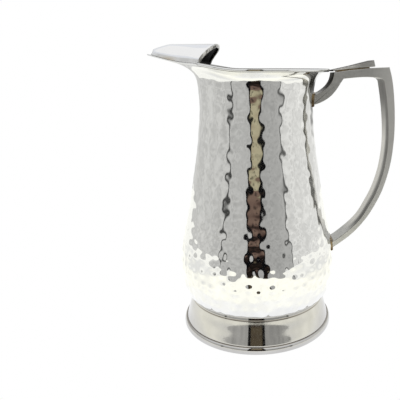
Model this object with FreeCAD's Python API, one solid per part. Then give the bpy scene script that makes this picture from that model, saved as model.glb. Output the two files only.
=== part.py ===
import FreeCAD, Part

# Water pitcher with a hammered body, an ice guard over the spout and a cast handle.
# Millimetres. +Z is up, the spout points to -X, the handle to +X, and the XZ plane is the
# plane of symmetry. The origin is the centre of the foot, on the surface it stands on.

import math
import os

from FreeCAD import Vector

os.makedirs("parts", exist_ok=True)

# Sheet thicknesses
BODY_WALL = 0.8
GUARD_WALL = 0.9
FOOT_WALL = 1.0

# Body, as (radius, height) points on its outer face, from the flat bottom up to the neck
BODY_OUTLINE = [
    (46.0, 29.0), (53.0, 29.0), (59.4, 29.2), (62.6, 30.3), (64.6, 32.6), (66.1, 36.5),
    (67.7, 43.0), (68.9, 52.0), (69.3, 62.0), (68.9, 71.0), (66.9, 84.0), (63.3, 99.5),
    (59.8, 116.0), (56.4, 136.0), (52.9, 156.0), (50.3, 176.0), (48.8, 193.0), (48.5, 203.0),
    (49.0, 211.0),
]
# The flare from the neck to the lip: all round the back, and along the middle of the spout
BACK_FLARE = [
    (49.0, 211.0), (49.4, 216.0), (50.2, 220.4), (51.5, 223.3), (53.6, 225.3), (56.4, 226.9),
    (59.4, 228.1),
]
SPOUT_FLARE = [
    (49.0, 211.0), (49.4, 217.4), (50.8, 223.6), (54.0, 229.0), (61.0, 233.6), (73.6, 238.0),
    (90.8, 241.5),
]
# The grid that the body's faces follow; its columns crowd together towards the spout
BELLY_ROWS = 44
FLARE_ROWS = 18
BODY_HALF_COLUMNS = 56
COLUMN_CROWDING = 1.35
LIP_BACK_RADIUS, LIP_BACK_HEIGHT = BACK_FLARE[-1]
LIP_TIP_RADIUS, LIP_TIP_HEIGHT = SPOUT_FLARE[-1]

# How the lip is pulled out into the spout, by the angle from the spout's middle, in degrees
SPOUT_DECAY = 11.5
SPOUT_ROUNDING = 8.0
SHOULDER_START = 80.0
SHOULDER_SPAN = 45.0
SHOULDER_PULL = 2.3
SHOULDER_LIFT = 4.9

# Rolled wire at the lip
RIM_WIRE_RADIUS = 1.4
RIM_WIRE_OUT = 1.0
RIM_WIRE_UP = 1.1
RIM_WIRE_CLEARANCE = 0.6
RIM_WIRE_STATIONS = 96
RIM_WIRE_SIDES = 16

# Ice guard
GUARD_ANGLE = 46.0
GUARD_NOSE_ANGLE = 5.0
GUARD_INSET = 0.7
GUARD_SKIRT_REAR = 4.6
GUARD_SKIRT_NOSE = 3.0
GUARD_RIDGE_HEIGHT = 250.0
GUARD_NOSE_RIDGE = 245.6
GUARD_NOSE_BEND = -70.0
GUARD_REAR_LEAN = 10.4
GUARD_NOSE_LEAN = 1.8
GUARD_ARCH_POWER = 3.4
GUARD_LEAN_POWER = 3.7
GUARD_LEAN_SOFTNESS = 1.33
GUARD_STATIONS = 26
GUARD_COLUMNS = 24
HEM_DROP = 3.4
HEM_END_DROP = 5.2
HEM_THICKNESS = 1.2
BRAZE_LEG = 1.2
BRAZE_GAP = 0.05
BRAZE_STATIONS = 16

# Foot
FOOT_COLLAR_OUTLINE = [
    (56.0, 27.2), (62.0, 27.2), (61.9, 28.0), (61.3, 30.2), (61.0, 32.0), (56.0, 32.0),
]
FLARE_OUTLINE = [(61.3, 27.2), (62.3, 22.5), (63.6, 17.5), (65.1, 12.0), (66.9, 6.0)]
BAND_INNER_RADIUS = 65.2
BAND_OUTLINE = [(67.7, 5.9), (68.6, 4.9), (69.2, 3.0), (69.2, 1.0), (68.6, 0.0)]
BAND_TOP = 6.0

# Handle, as (x, z) points on its side view
ARM_TOP_EDGE = [
    (44.0, 207.6), (50.0, 209.4), (55.0, 212.0), (59.8, 215.8), (63.0, 220.4), (64.3, 225.0),
    (64.5, 227.4),
]
BAR_TOP_EDGE = [(64.5, 227.4), (77.3, 229.2), (88.0, 230.3), (98.0, 231.1), (110.4, 231.7)]
GRIP_OUTER_EDGE = [
    (110.4, 231.7), (113.4, 221.8), (116.0, 207.0), (118.0, 187.0), (118.4, 170.0),
    (116.9, 150.0), (112.2, 129.1), (106.3, 114.4), (97.8, 99.4), (84.7, 84.2), (64.0, 68.4),
]
GRIP_END_EDGE = [(64.0, 68.4), (64.0, 75.4)]
GRIP_INNER_EDGE = [
    (64.0, 75.4), (74.0, 81.3), (91.5, 97.6), (100.9, 113.6), (106.4, 126.0), (110.8, 141.5),
    (113.0, 158.0), (113.3, 172.0), (111.9, 190.0), (109.7, 205.0), (107.0, 218.5),
]
CORNER_EDGE = [(107.0, 218.5), (105.9, 221.6), (102.6, 223.1)]
BAR_UNDER_EDGE = [(102.6, 223.1), (95.0, 223.7), (86.3, 223.6), (72.6, 222.4)]
ARM_UNDER_EDGE = [
    (72.6, 222.4), (70.3, 218.9), (67.2, 213.8), (62.6, 208.4), (57.2, 204.6), (51.5, 202.0),
    (44.0, 200.2),
]
ARM_END_EDGE = [(44.0, 200.2), (44.0, 207.6)]
HANDLE_WIDTH_TOP = 23.0
HANDLE_WIDTH_BOTTOM = 18.0
TAPER_START, TAPER_END = 60.0, 200.0
WELD_LEG = 1.4
# Middle of each weld as (x, z), with how far its bead reaches along X and how high it is
UPPER_WELD = ((48.0, 204.5), 14.0, 14.0)
LOWER_WELD = ((69.0, 74.5), 16.0, 18.0)

# Thumb rest
REST_UNDER_EDGE = [(62.9, 228.3), (77.3, 230.1), (88.2, 231.2), (98.8, 232.2)]
REST_REAR_EDGE = [(98.8, 232.2), (97.4, 237.4)]
REST_TOP_EDGE = [
    (97.4, 237.4), (94.9, 236.8), (89.6, 235.5), (79.8, 233.1), (70.0, 231.0), (62.9, 229.5),
]
REST_FRONT_EDGE = [(62.9, 229.5), (62.9, 228.3)]
REST_WIDTH_FRONT = 15.0
REST_WIDTH_REAR = 22.0
REST_BRAZE_START = 68.0
REST_BRAZE_END = 95.0
REST_BRAZE_WIDTH = 12.0
REST_BRAZE_BOX = (228.0, 234.0)


def save(shape, name):
    """Writes one sub-part, and says how large it is."""
    solids = shape.Solids
    if not solids or not all(s.isValid() and s.Volume > 0 for s in solids):
        raise ValueError(name + " is not a set of valid solids")
    shape = solids[0] if len(solids) == 1 else Part.makeCompound(solids)
    shape.exportStep("parts/" + name + ".step")
    print(name, len(solids), "solid(s)", round(sum(s.Volume for s in solids)), "mm3")


def spline(points):
    """A smooth edge through points, paced by the distance between them."""
    pace = [0.0]
    for before, after in zip(points, points[1:]):
        pace.append(pace[-1] + before.distanceToPoint(after))
    curve = Part.BSplineCurve()
    curve.interpolate(Points=points, Parameters=pace)
    return curve.toShape()


def clamped(count):
    """Knots and multiplicities of a cubic spline that starts and ends on its own end points."""
    spans = count - 3
    return list(range(spans + 1)), [4] + [1] * (spans - 1) + [4]


def smooth_face(grid, closed=False):
    """A smooth cubic face that follows a fine grid of points, its rows closed rings if asked."""
    rows = [row[:-1] for row in grid] if closed else grid
    row_knots, row_mults = clamped(len(rows))
    if closed:
        ring_knots = list(range(len(rows[0]) + 1))
        ring_mults = [1] * len(ring_knots)
    else:
        ring_knots, ring_mults = clamped(len(rows[0]))
    surface = Part.BSplineSurface()
    surface.buildFromPolesMultsKnots(
        rows, row_mults, ring_mults, row_knots, ring_knots, False, closed, 3, 3
    )
    return surface.toShape()


def closed_solid(faces):
    """The solid inside a set of faces that meet edge to edge."""
    shell = Part.makeShell(faces)
    shell.sewShape()
    solid = Part.makeSolid(Part.Shell(shell.Faces))
    if solid.Volume < 0:
        solid.reverse()
    return solid


def edge_near(face, point):
    """The edge of a face whose middle is nearest to a point."""
    def distance(edge):
        middle = edge.valueAt((edge.FirstParameter + edge.LastParameter) / 2)
        return middle.distanceToPoint(point)
    return min(face.Edges, key=distance)


def spread(points, count):
    """Points evenly spaced along a smooth (radius, height) outline."""
    edge = spline([Vector(r, 0, z) for r, z in points])
    return [(p.x, p.z) for p in edge.discretize(Number=count)]


def revolve(outline):
    """The solid that a closed (radius, height) face makes round the Z axis."""
    return outline.revolve(Vector(0, 0, 0), Vector(0, 0, 1), 360).Solids[0]


def tip_share(angle):
    """1 at the spout's tip, falling away to each side of it."""
    rounded = math.sqrt(angle * angle + SPOUT_ROUNDING**2) - SPOUT_ROUNDING
    return math.exp(-rounded / SPOUT_DECAY)


def shoulder_share(angle):
    """1 across the spout, easing to 0 at the sides of the mouth."""
    t = min(1.0, max(0.0, (SHOULDER_START - abs(angle)) / SHOULDER_SPAN))
    return t * t * (3 - 2 * t)


TIP_PULL = LIP_TIP_RADIUS - LIP_BACK_RADIUS - SHOULDER_PULL
TIP_LIFT = LIP_TIP_HEIGHT - LIP_BACK_HEIGHT - SHOULDER_LIFT


def pull_at(angle):
    """How far the lip stands further out than at the back."""
    return TIP_PULL * tip_share(angle) + SHOULDER_PULL * shoulder_share(angle)


def lift_at(angle):
    """How far the lip stands higher than at the back."""
    return TIP_LIFT * tip_share(angle) + SHOULDER_LIFT * shoulder_share(angle)


def lip_at(angle):
    """Radius and height of the sheet's outer edge at an angle from the spout."""
    return LIP_BACK_RADIUS + pull_at(angle), LIP_BACK_HEIGHT + lift_at(angle)


def polar(radius, angle, height):
    """A point at an angle, in degrees, from the spout's direction."""
    a = math.radians(angle)
    return Vector(-radius * math.cos(a), radius * math.sin(a), height)


def body_rows():
    """The body's outer face as rows of points, from the bottom to the lip."""
    angles = []
    for k in range(-BODY_HALF_COLUMNS, BODY_HALF_COLUMNS + 1):
        away = 180 * (abs(k) / BODY_HALF_COLUMNS) ** COLUMN_CROWDING
        angles.append(math.copysign(away, k))
    rows = [[polar(r, a, z) for a in angles] for r, z in spread(BODY_OUTLINE, BELLY_ROWS)[:-1]]
    back = spread(BACK_FLARE, FLARE_ROWS)
    spout = spread(SPOUT_FLARE, FLARE_ROWS)
    for (rb, zb), (rs, zs) in zip(back, spout):
        rows.append([
            polar(
                rb + pull_at(a) / pull_at(0) * (rs - rb),
                a,
                zb + lift_at(a) / lift_at(0) * (zs - zb),
            )
            for a in angles
        ])
    return rows


def inner_rows(rows, thickness):
    """The rows moved inwards by the sheet's thickness, square to the face."""
    last_row, last_column = len(rows) - 1, len(rows[0]) - 1
    moved = []
    for i, row in enumerate(rows):
        line = []
        for j, point in enumerate(row):
            up = rows[min(i + 1, last_row)][j] - rows[max(i - 1, 0)][j]
            ahead = (row[j + 1] if j < last_column else row[1]) - point
            behind = point - (row[j - 1] if j > 0 else row[last_column - 1])
            along = behind * (ahead.Length / behind.Length) + ahead * (behind.Length / ahead.Length)
            line.append(point - up.cross(along).normalize() * thickness)
        line[last_column] = line[0]
        moved.append(line)
    return moved


def body_shell():
    """The raised and planished vessel: one sheet from the bottom to the lip."""
    rows = body_rows()
    inside = inner_rows(rows, BODY_WALL)
    outer, inner = smooth_face(rows, True), smooth_face(inside, True)
    middle = len(rows[0]) // 2
    outer_lip = edge_near(outer, rows[-1][middle])
    inner_lip = edge_near(inner, inside[-1][middle])
    outer_foot = edge_near(outer, rows[0][middle])
    inner_foot = edge_near(inner, inside[0][middle])
    return closed_solid([
        outer,
        inner,
        Part.makeRuledSurface(outer_lip, inner_lip),
        Part.Face(Part.Wire(outer_foot)),
        Part.Face(Part.Wire(inner_foot)),
    ])


def body_envelope():
    """A solid that fills the body's outline below the flare."""
    outline = [Vector(r, 0, z) for r, z in BODY_OUTLINE]
    first, last = outline[0], outline[-1]
    edges = [
        spline(outline),
        Part.LineSegment(last, Vector(0, 0, last.z)).toShape(),
        Part.LineSegment(Vector(0, 0, last.z), Vector(0, 0, first.z)).toShape(),
        Part.LineSegment(Vector(0, 0, first.z), first).toShape(),
    ]
    return revolve(Part.Face(Part.Wire(edges)))


def body_skin(thickness):
    """A layer of even thickness all over the outside of the body, below the flare."""
    inner = [Vector(r, 0, z) for r, z in BODY_OUTLINE[5:]]
    outer = [Vector(r + thickness, 0, z) for r, z in BODY_OUTLINE[5:]]
    edges = [
        spline(outer),
        Part.LineSegment(outer[-1], inner[-1]).toShape(),
        spline(inner),
        Part.LineSegment(inner[0], outer[0]).toShape(),
    ]
    return revolve(Part.Face(Part.Wire(Part.__sortEdges__(edges))))


def rim_wire():
    """The wire that the lip is rolled round, from one end of the ice guard to the other."""
    around = RIM_WIRE_SIDES
    start = GUARD_ANGLE + RIM_WIRE_CLEARANCE
    rows = []
    for i in range(RIM_WIRE_STATIONS + 1):
        angle = start + (360 - 2 * start) * i / RIM_WIRE_STATIONS
        side = angle if angle <= 180 else angle - 360
        radius, height = lip_at(side)
        radius += RIM_WIRE_OUT
        height += RIM_WIRE_UP
        rows.append([
            polar(
                radius + RIM_WIRE_RADIUS * math.cos(2 * math.pi * k / around),
                angle,
                height + RIM_WIRE_RADIUS * math.sin(2 * math.pi * k / around),
            )
            for k in range(around + 1)
        ])
    tube = smooth_face(rows, True)
    ends = [Part.Face(Part.Wire(edge_near(tube, row[around // 2]))) for row in (rows[0], rows[-1])]
    return closed_solid([tube] + ends)


def guard_station(share, inset):
    """Where the guard's skirt stands at a share of the way from its rear to its nose."""
    angle = GUARD_ANGLE + (GUARD_NOSE_ANGLE - GUARD_ANGLE) * share
    radius, height = lip_at(angle)
    foot = polar(radius - inset, angle, height + BODY_WALL)
    skirt = GUARD_SKIRT_REAR + (GUARD_SKIRT_NOSE - GUARD_SKIRT_REAR) * share
    return foot, skirt


def guard_ridge(x):
    """Height of the guard's ridge: level, then rounding down to the nose."""
    nose_x = guard_station(1.0, GUARD_INSET)[0].x
    t = max(0.0, (GUARD_NOSE_BEND - x) / (GUARD_NOSE_BEND - nose_x))
    return GUARD_RIDGE_HEIGHT + (GUARD_NOSE_RIDGE - GUARD_RIDGE_HEIGHT) * t**1.3


def guard_share(station):
    """Share of the way from the guard's rear to its nose at a numbered station."""
    return (station / GUARD_STATIONS) ** 0.8


def guard_rows(inset, drop):
    """The roof as rows of points from the rear to the nose, each row from side to side."""
    rows = []
    for i in range(GUARD_STATIONS + 1):
        share = guard_share(i)
        foot, skirt = guard_station(share, inset)
        rear_lean = GUARD_REAR_LEAN * (1 - share) ** 2
        nose_lean = GUARD_NOSE_LEAN * share**8
        fold_height = foot.z + skirt
        row = []
        for k in range(GUARD_COLUMNS + 1):
            v = 2 * k / GUARD_COLUMNS - 1
            arch = 1 - abs(v) ** GUARD_ARCH_POWER
            bulge = (1 - abs(v) ** GUARD_LEAN_POWER) ** GUARD_LEAN_SOFTNESS
            x = foot.x + rear_lean * bulge + nose_lean
            rise = guard_ridge(x) - fold_height
            row.append(Vector(x, foot.y * v, fold_height + rise * arch - drop))
        rows.append(row)
    return rows


def ice_guard():
    """The hood over the spout: one sheet with an arched roof and two skirts, open at both ends."""
    faces = []
    sheets = []
    for inset, drop in ((GUARD_INSET, 0.0), (GUARD_INSET + GUARD_WALL, GUARD_WALL)):
        rows = guard_rows(inset, drop)
        roof = smooth_face(rows)
        half_way, centre = len(rows) // 2, len(rows[0]) // 2
        feet = []
        for column in (0, -1):
            points = []
            for i, row in enumerate(rows):
                foot, _ = guard_station(guard_share(i), inset)
                points.append(Vector(row[column].x, row[column].y, foot.z))
            feet.append(spline(points))
            fold = edge_near(roof, rows[half_way][column])
            faces.append(Part.makeRuledSurface(fold, feet[-1]))
        faces.append(roof)
        ends = [edge_near(roof, rows[end][centre]) for end in (0, -1)]
        sheets.append({"rows": rows, "feet": feet, "ends": ends})
    outer, inner = sheets
    for key in ("feet", "ends"):
        for outer_edge, inner_edge in zip(outer[key], inner[key]):
            faces.append(Part.makeRuledSurface(outer_edge, inner_edge))
    for side, column in enumerate((0, -1)):
        for end in (0, -1):
            uprights = []
            for sheet in sheets:
                foot = sheet["feet"][side]
                low = foot.valueAt(foot.FirstParameter if end == 0 else foot.LastParameter)
                uprights.append(Part.LineSegment(sheet["rows"][end][column], low).toShape())
            faces.append(Part.makeRuledSurface(*uprights))
    return closed_solid(faces)


def strip(sections):
    """A solid strip with straight-sided sections, each a list of corners in the same order."""
    corners = len(sections[0])
    lines = [spline([section[k] for section in sections]) for k in range(corners)]
    faces = [Part.makeRuledSurface(lines[k], lines[(k + 1) % corners]) for k in range(corners)]
    for section in (sections[0], sections[-1]):
        faces.append(Part.Face(Part.makePolygon(section + [section[0]])))
    return closed_solid(faces)


def ice_guard_hem():
    """The turned-down edge that stiffens the guard's open rear end."""
    rear = guard_rows(GUARD_INSET, 0.0)[0]
    sections = []
    for k, point in enumerate(rear):
        v = 2 * k / (len(rear) - 1) - 1
        drop = HEM_DROP + (HEM_END_DROP - HEM_DROP) * v**6
        back = Vector(HEM_THICKNESS, 0, 0)
        down = Vector(0, 0, -drop)
        sections.append([point, point + back, point + back + down, point + down])
    return strip(sections)


def ice_guard_braze():
    """The two fillets of brazing metal inside the skirts, where they stand on the spout."""
    fillets = []
    for side in (-1, 1):
        sections = []
        for i in range(1, BRAZE_STATIONS):
            foot, _ = guard_station(i / BRAZE_STATIONS, GUARD_INSET + GUARD_WALL)
            inwards = Vector(-foot.x, -foot.y, 0).normalize() * BRAZE_LEG
            corner = Vector(foot.x, foot.y * side, foot.z + BRAZE_GAP)
            inwards.y *= side
            sections.append([corner, corner + Vector(0, 0, BRAZE_LEG), corner + inwards])
        fillets.append(strip(sections))
    return Part.makeCompound(fillets)


def side_face(edges):
    """A face in the XZ plane bounded by smooth edges given as (x, z) points."""
    wire = Part.Wire([spline([Vector(x, 0, z) for x, z in edge]) for edge in edges])
    return Part.Face(wire)


def slab(face, width):
    """A side face made into a solid of that width, centred on the plane of symmetry."""
    start = face.copy()
    start.translate(Vector(0, -width / 2, 0))
    return start.extrude(Vector(0, width, 0))


def plan_wedge(x0, width0, x1, width1, z0, z1):
    """A block that is width0 wide at x0 and width1 wide at x1."""
    corners = [
        Vector(x0, -width0 / 2, z0), Vector(x1, -width1 / 2, z0),
        Vector(x1, width1 / 2, z0), Vector(x0, width0 / 2, z0),
    ]
    return Part.Face(Part.makePolygon(corners + corners[:1])).extrude(Vector(0, 0, z1 - z0))


def front_wedge(z0, width0, z1, width1, z2, x0, x1):
    """A block that widens from width0 at height z0 to width1 at z1, and stays so up to z2."""
    corners = [
        Vector(x0, -width0 / 2, z0), Vector(x0, width0 / 2, z0), Vector(x0, width1 / 2, z1),
        Vector(x0, width1 / 2, z2), Vector(x0, -width1 / 2, z2), Vector(x0, -width1 / 2, z1),
    ]
    return Part.Face(Part.makePolygon(corners + corners[:1])).extrude(Vector(x1 - x0, 0, 0))


HANDLE_OUTLINE = [
    ARM_TOP_EDGE, BAR_TOP_EDGE, GRIP_OUTER_EDGE, GRIP_END_EDGE, GRIP_INNER_EDGE, CORNER_EDGE,
    BAR_UNDER_EDGE, ARM_UNDER_EDGE, ARM_END_EDGE,
]


def handle_blank(extra=0.0):
    """The handle before its two ends are cut to the body, wider all round if asked."""
    side = side_face(HANDLE_OUTLINE)
    box = side.BoundBox
    taper = front_wedge(
        TAPER_START, HANDLE_WIDTH_BOTTOM + 2 * extra, TAPER_END, HANDLE_WIDTH_TOP + 2 * extra,
        box.ZMax + 1, box.XMin - 1, box.XMax + 1,
    )
    return slab(side, HANDLE_WIDTH_TOP + 2 * extra).common(taper)


def handle():
    """The cast handle: an S-shaped arm, a level bar and a curved grip."""
    return handle_blank().cut(body_envelope())


def weld_collar(centre, reach, height):
    """The bead of weld round one end of the handle, lying on the body."""
    x, z = centre
    width = HANDLE_WIDTH_TOP + 4 * WELD_LEG
    corner = Vector(x - reach / 2, -width / 2, z - height / 2)
    box = Part.makeBox(reach, width, height, corner)
    wide = handle_blank(WELD_LEG)
    for rise in (WELD_LEG, -WELD_LEG):
        moved = handle_blank(WELD_LEG)
        moved.translate(Vector(0, 0, rise))
        wide = wide.fuse(moved)
    return body_skin(WELD_LEG).common(wide).common(box).cut(handle_blank())


def thumb_rest():
    """The wedge on top of the handle that the thumb presses to tip the pitcher."""
    side = side_face([REST_UNDER_EDGE, REST_REAR_EDGE, REST_TOP_EDGE, REST_FRONT_EDGE])
    box = side.BoundBox
    plan = plan_wedge(
        box.XMin - 1, REST_WIDTH_FRONT, box.XMax + 1, REST_WIDTH_REAR, box.ZMin - 1, box.ZMax + 1
    )
    return slab(side, REST_WIDTH_REAR + 2).common(plan)


def thumb_rest_braze():
    """The thin layer of brazing metal that holds the thumb rest on the handle's bar."""
    low, high = REST_BRAZE_BOX
    corner = Vector(REST_BRAZE_START, -REST_BRAZE_WIDTH / 2, low)
    length = REST_BRAZE_END - REST_BRAZE_START
    block = Part.makeBox(length, REST_BRAZE_WIDTH, high - low, corner)
    gap = side_face([
        BAR_TOP_EDGE,
        [BAR_TOP_EDGE[-1], REST_UNDER_EDGE[-1]],
        REST_UNDER_EDGE[::-1],
        [REST_UNDER_EDGE[0], BAR_TOP_EDGE[0]],
    ])
    return slab(gap, REST_BRAZE_WIDTH).common(block)


def foot_collar():
    """The ring under the belly that the foot is brazed to."""
    corners = [Vector(r, 0, z) for r, z in FOOT_COLLAR_OUTLINE]
    ring = revolve(Part.Face(Part.makePolygon(corners + corners[:1])))
    return ring.cut(body_envelope())


def foot_flare():
    """The spun trumpet-shaped sheet between the collar and the base band."""
    outer = [Vector(r, 0, z) for r, z in FLARE_OUTLINE]
    inner = [Vector(r - FOOT_WALL, 0, z) for r, z in FLARE_OUTLINE]
    edges = [
        spline(outer),
        Part.LineSegment(outer[-1], inner[-1]).toShape(),
        spline(inner),
        Part.LineSegment(inner[0], outer[0]).toShape(),
    ]
    return revolve(Part.Face(Part.Wire(Part.__sortEdges__(edges))))


def foot_band():
    """The thick band that the pitcher stands on, with a small step where the flare ends."""
    outer = [Vector(r, 0, z) for r, z in BAND_OUTLINE]
    top_inner = Vector(BAND_INNER_RADIUS, 0, BAND_TOP)
    top_outer = Vector(FLARE_OUTLINE[-1][0], 0, BAND_TOP)
    low_inner = Vector(BAND_INNER_RADIUS, 0, 0)
    edges = [
        Part.LineSegment(top_inner, top_outer).toShape(),
        Part.LineSegment(top_outer, outer[0]).toShape(),
        spline(outer),
        Part.LineSegment(outer[-1], low_inner).toShape(),
        Part.LineSegment(low_inner, top_inner).toShape(),
    ]
    return revolve(Part.Face(Part.Wire(edges)))


save(body_shell(), "body_shell")
save(rim_wire(), "rim_wire")
save(ice_guard(), "ice_guard")
save(ice_guard_hem(), "ice_guard_hem")
save(ice_guard_braze(), "ice_guard_braze")
save(handle(), "handle")
save(weld_collar(*UPPER_WELD), "handle_weld_upper")
save(weld_collar(*LOWER_WELD), "handle_weld_lower")
save(thumb_rest(), "thumb_rest")
save(thumb_rest_braze(), "thumb_rest_braze")
save(foot_collar(), "foot_collar")
save(foot_flare(), "foot_flare")
save(foot_band(), "foot_band")
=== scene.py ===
import math
import random

import bmesh
import bpy
from mathutils import Euler, Matrix, Vector, kdtree


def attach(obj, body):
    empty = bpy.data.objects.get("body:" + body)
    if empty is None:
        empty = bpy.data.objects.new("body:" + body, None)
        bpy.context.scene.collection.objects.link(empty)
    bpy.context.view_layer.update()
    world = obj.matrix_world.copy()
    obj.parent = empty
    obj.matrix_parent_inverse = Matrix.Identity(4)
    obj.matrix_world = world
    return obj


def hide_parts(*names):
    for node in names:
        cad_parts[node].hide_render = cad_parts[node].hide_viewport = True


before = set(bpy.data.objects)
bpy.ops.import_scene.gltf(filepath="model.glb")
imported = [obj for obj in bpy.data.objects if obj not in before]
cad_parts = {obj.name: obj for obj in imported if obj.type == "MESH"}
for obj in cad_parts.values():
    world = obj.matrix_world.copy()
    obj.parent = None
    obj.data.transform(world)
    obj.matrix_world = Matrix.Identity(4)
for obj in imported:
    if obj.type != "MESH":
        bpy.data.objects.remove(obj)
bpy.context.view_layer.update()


# The camera stands in front of the pitcher, level with its rim, and looks down at it. The
# pitcher is right of the middle of the view, so the lens is shifted to the left.
CAMERA_DISTANCE = 0.415
CAMERA_HEIGHT = 0.2294
CAMERA_TILT = 15.37
CAMERA_TURN = 1.27

camera_data = bpy.data.cameras.new("camera")
camera_data.lens = 42.55
camera_data.sensor_width = 36.0
camera_data.shift_x = -0.1675
camera_data.clip_start = 0.01
camera = bpy.data.objects.new("camera", camera_data)
camera.location = (0.0, -CAMERA_DISTANCE, CAMERA_HEIGHT)
camera.rotation_euler = Euler((math.radians(90 - CAMERA_TILT), 0.0, math.radians(-CAMERA_TURN)))
bpy.context.scene.collection.objects.link(camera)
bpy.context.scene.camera = camera
bpy.context.scene.view_settings.view_transform = "Standard"


# The studio: a white table whose front edge is near the pitcher, and pale cloth all round it
# like a light tent. In front the cloth hangs in panels, with a narrow dark opening between
# them and warm brown beyond it, which is what the polished metal mirrors.
TABLE_FRONT = -0.275
TABLE_BACK = 0.60
TABLE_SIDE = 0.62
TENT_RADIUS = 1.6
TENT_LOW = -1.6
TENT_HIGH = 1.5
TENT_STEPS = 96
EYE_LEVEL = 0.15
FLOOR_GAP = 0.0003


class Socket:
    """A node's output, so that shader sums are written as sums."""

    def __init__(self, link):
        self.link = link
        self.tree = link.id_data

    def node(self, kind, settings, *values, out=0, **named):
        """Adds a node, sets it up, feeds its sockets, and gives one of its outputs."""
        made = self.tree.nodes.new(kind)
        for key, value in settings.items():
            if key == "stops":
                ramp = made.color_ramp
                while len(ramp.elements) < len(value):
                    ramp.elements.new(1.0)
                for element, (position, colour) in zip(ramp.elements, value):
                    element.position = position
                    element.color = (*colour, 1.0)
            else:
                setattr(made, key, value)
        for key, value in list(enumerate(values)) + list(named.items()):
            socket = made.inputs[key.replace("_", " ") if isinstance(key, str) else key]
            if isinstance(value, Socket):
                self.tree.links.new(value.link, socket)
            elif value is not None:
                socket.default_value = value
        return Socket(made.outputs[out])

    def other(self, name):
        """Another output of the same node."""
        return Socket(self.link.node.outputs[name])

    def maths(self, operation, *values):
        return self.node("ShaderNodeMath", {"operation": operation}, *values)

    def __add__(self, other):
        return self.maths("ADD", self, other)

    def __mul__(self, other):
        return self.maths("MULTIPLY", self, other)

    def __sub__(self, other):
        return self.maths("SUBTRACT", self, other)

    def __rsub__(self, other):
        return self.maths("SUBTRACT", other, self)

    def __truediv__(self, other):
        return self.maths("DIVIDE", self, other)

    __radd__ = __add__
    __rmul__ = __mul__

    def between(self, low, high):
        """0 below low, 1 above high, straight between."""
        return self.node(
            "ShaderNodeMapRange", {"clamp": True}, Value=self, From_Min=low, From_Max=high
        )

    def within(self, start, full, fading, end):
        """1 from full to fading, 0 before start and after end."""
        return self.between(start, full) * (1.0 - self.between(fading, end))

    def blend(self, first, second):
        """A colour from first to second, by this share."""
        first = (*first, 1.0) if isinstance(first, tuple) else first
        second = (*second, 1.0) if isinstance(second, tuple) else second
        gap = [None] * 5
        return self.node("ShaderNodeMix", {"data_type": "RGBA"}, self, *gap, first, second, out=2)

    def noise(self, scale, detail=2.0):
        """Soft noise on this place, from 0 to 1."""
        return self.node("ShaderNodeTexNoise", {}, Vector=self, Scale=scale, Detail=detail)

    def stretched(self, x, y, z):
        """This place with its axes scaled."""
        return self.node("ShaderNodeMapping", {}, Vector=self, Scale=(x, y, z))


def new_material(name, shader):
    """A material whose surface is what shader gives for a place on the piece."""
    material = bpy.data.materials.new(name)
    material.use_nodes = True
    tree = material.node_tree
    tree.nodes.clear()
    here = Socket(tree.nodes.new("ShaderNodeTexCoord").outputs["Object"])
    output = tree.nodes.new("ShaderNodeOutputMaterial")
    tree.links.new(shader(here).link, output.inputs["Surface"])
    return material


def place(name, mesh, *materials):
    """Links a finished bmesh as an object at the origin, smooth, with its materials."""
    data = bpy.data.meshes.new(name)
    mesh.to_mesh(data)
    mesh.free()
    for face in data.polygons:
        face.use_smooth = True
    for material in materials:
        data.materials.append(material)
    made = bpy.data.objects.new(name, data)
    bpy.context.scene.collection.objects.link(made)
    return made


def floor_shader(here):
    """White light: warm in front, with painted shade that makes it cooler and dimmer at the sides
    and round the foot.
    """
    x = here.node("ShaderNodeSeparateXYZ", {}, here)
    aside = x.maths("ABSOLUTE", x).between(0.14, 0.34)
    distance = here.node("ShaderNodeVectorMath", {"operation": "LENGTH"}, here, out=1)
    # Painted shade: dimmer and cooler near the foot and beside it, where the pitcher shades the
    # table.
    front = distance.between(0.07, 0.15).blend((1.02, 1.03, 1.07), (1.20, 1.19, 1.09))
    near = aside.blend(front, (0.72, 0.73, 0.76))
    colour = distance.between(0.27, 0.38).blend(near, (1.08, 1.08, 1.04))
    uneven = 0.84 + 0.30 * here.noise(24.0, 3.0)
    colour = colour.node("ShaderNodeVectorMath", {"operation": "SCALE"}, colour, Scale=uneven)
    return colour.node("ShaderNodeEmission", {}, colour, 1.0)


floor_mesh = bmesh.new()
bmesh.ops.create_grid(floor_mesh, x_segments=2, y_segments=2, size=1.0)
bmesh.ops.scale(
    floor_mesh, verts=floor_mesh.verts, vec=(TABLE_SIDE, (TABLE_BACK - TABLE_FRONT) / 2, 1.0)
)
bmesh.ops.translate(
    floor_mesh, verts=floor_mesh.verts, vec=(0.0, (TABLE_BACK + TABLE_FRONT) / 2, -FLOOR_GAP)
)
floor = place("studio_floor", floor_mesh, new_material("studio_floor", floor_shader))
floor.visible_camera = False


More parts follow.
